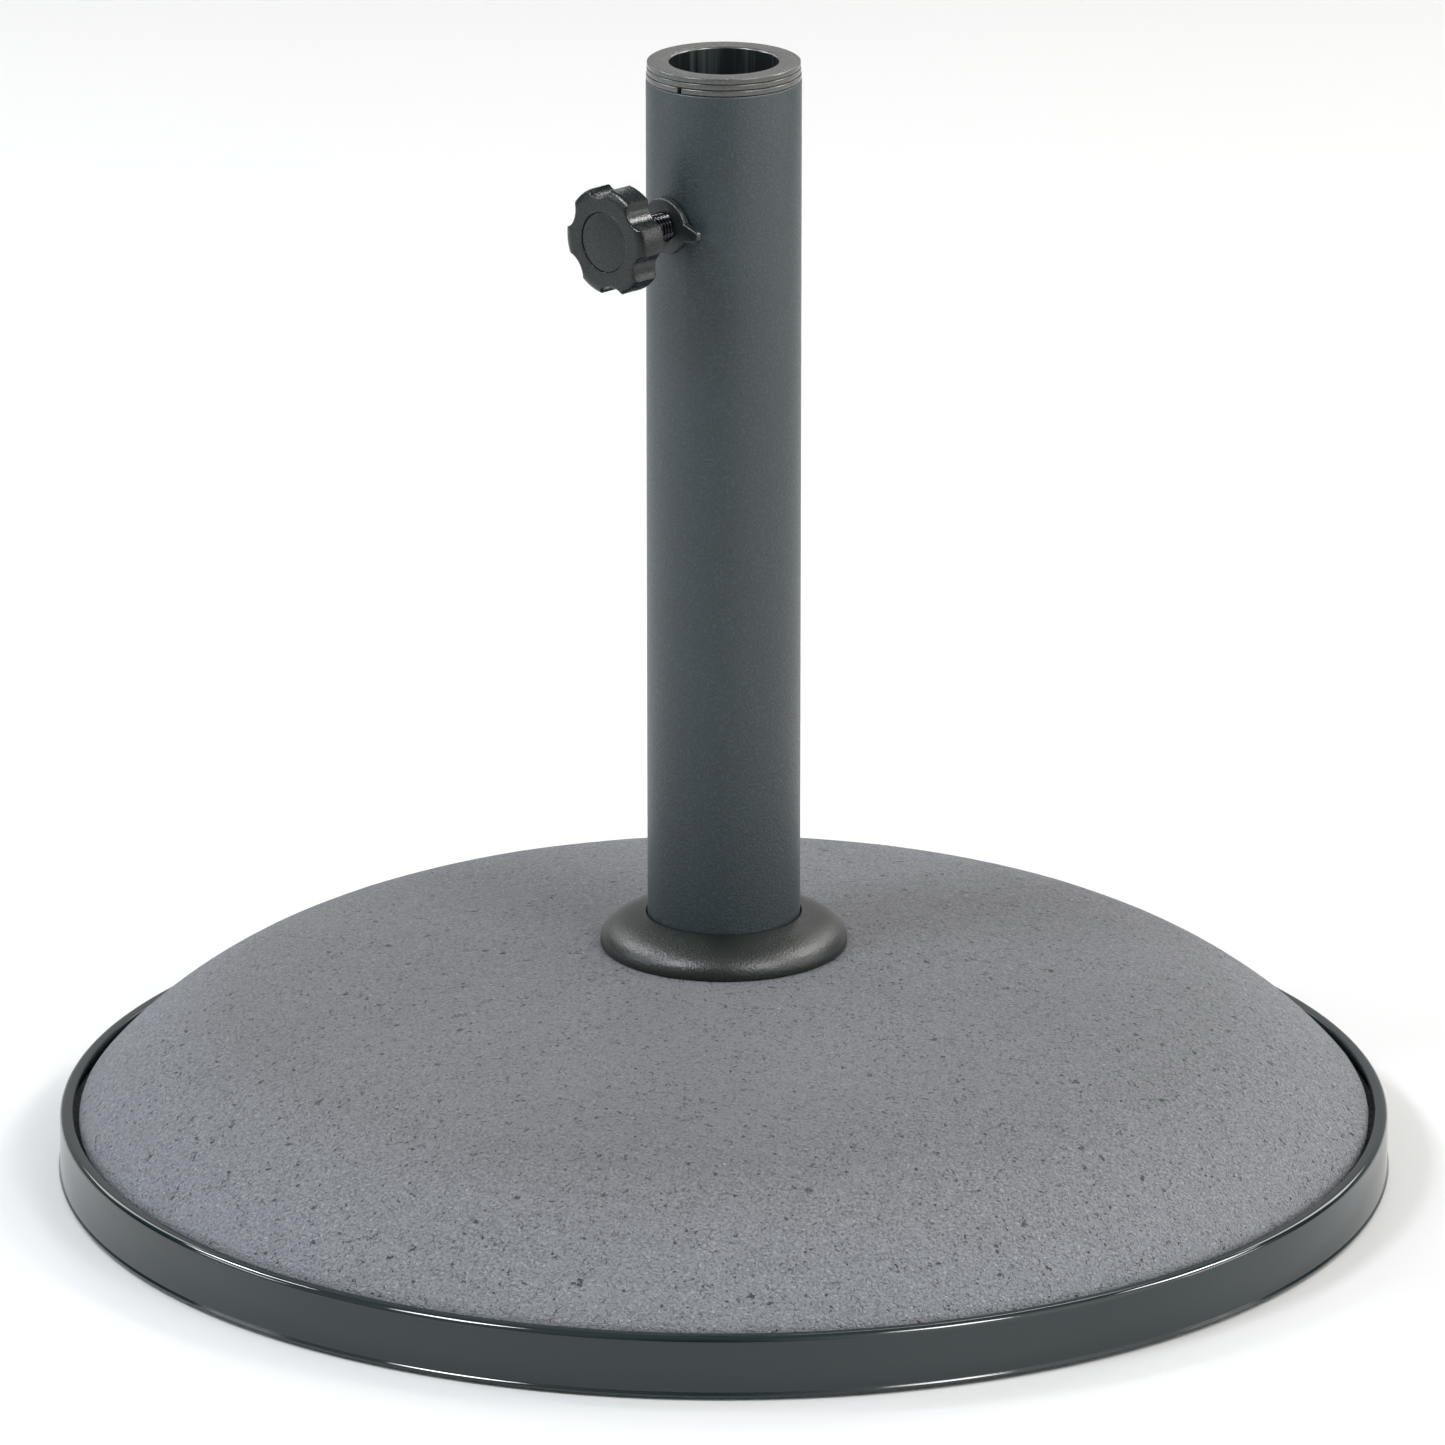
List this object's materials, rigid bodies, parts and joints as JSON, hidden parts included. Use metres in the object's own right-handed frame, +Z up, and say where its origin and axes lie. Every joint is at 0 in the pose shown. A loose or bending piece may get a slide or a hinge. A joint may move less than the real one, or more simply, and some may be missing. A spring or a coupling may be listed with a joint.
{
  "type": "parasol base",
  "caption": "Round domed concrete parasol base with a dark channel rim, a steel pole tube with nested reducers and a lobed clamp-screw knob.",
  "frame": {"origin": "on the ground, on the pole tube's axis", "axes": "+Z up along the pole tube, -Y to the front, the clamp knob 44 degrees from the front towards -X"},
  "size_m": [0.5, 0.5, 0.4254],
  "materials": {
    "concrete": "cast fair-faced concrete, matt, finely pitted",
    "rim_coat": "smooth gloss, dark slate grey",
    "powder_coat": "fine-textured powder coat, dark slate grey",
    "collar_plastic": "satin moulded, fine grain, dark grey",
    "reducer_plastic": "satin moulded, dark grey",
    "knob_plastic": "semi-gloss moulded, dark grey",
    "nut_coat": "semi-gloss black coat",
    "screw_steel": "zinc-plated, bright",
    "tip_plastic": "hard nylon",
    "zinc": "zinc-plated",
    "rubber": "matt"
  },
  "bodies": {
    "base": {"concrete_body": "concrete", "rim_band": "rim_coat", "floor_pad_1": "rubber", "floor_pad_2": "rubber", "floor_pad_3": "rubber", "floor_pad_4": "rubber", "pole_tube": "powder_coat", "tube_foot_plate": "powder_coat", "foot_nut": "zinc", "foot_bolt": "zinc", "spring_washer": "zinc", "flat_washer": "zinc", "threaded_boss": "powder_coat"},
    "collar": {"foot_collar": "collar_plastic"},
    "outer_sleeve": {"reducer_outer": "reducer_plastic"},
    "middle_sleeve": {"reducer_middle": "reducer_plastic"},
    "inner_sleeve": {"reducer_inner": "reducer_plastic"},
    "lock_nut": {"wing_lock_nut": "nut_coat"},
    "tip": {"pressure_tip": "tip_plastic"},
    "knob": {"clamp_screw": "screw_steel", "knob_body": "knob_plastic", "knob_cap": "knob_plastic"}
  },
  "joints": [
    {"name": "knob_turn", "type": "hinge", "parent": "tip", "child": "knob", "pos_m": [-0.03771, -0.03865, 0.3689], "axis": [-0.6984, -0.7157, 0], "range_deg": [-3240, 1080]},
    {"name": "screw_advance", "type": "slide", "parent": "base", "child": "tip", "axis": [-0.6984, -0.7157, 0], "range_m": [-0.01351, 0.00451]},
    {"name": "lock_nut_turn", "type": "hinge", "parent": "base", "child": "lock_nut", "pos_m": [-0.02165, -0.02219, 0.3689], "axis": [-0.6984, -0.7157, 0], "range_deg": [0, 360]},
    {"name": "outer_lift", "type": "slide", "parent": "base", "child": "outer_sleeve", "axis": [0, 0, 1], "range_m": [0, 0.085]},
    {"name": "middle_lift", "type": "slide", "parent": "outer_sleeve", "child": "middle_sleeve", "axis": [0, 0, 1], "range_m": [0, 0.085]},
    {"name": "inner_lift", "type": "slide", "parent": "middle_sleeve", "child": "inner_sleeve", "axis": [0, 0, 1], "range_m": [0, 0.085]},
    {"name": "collar_lift", "type": "slide", "parent": "base", "child": "collar", "axis": [0, 0, 1], "range_m": [0, 0.24]}
  ],
  "couplings": [
    {"joint": "screw_advance", "follows": "knob_turn", "m_per_rad": 0.00023873}
  ]
}
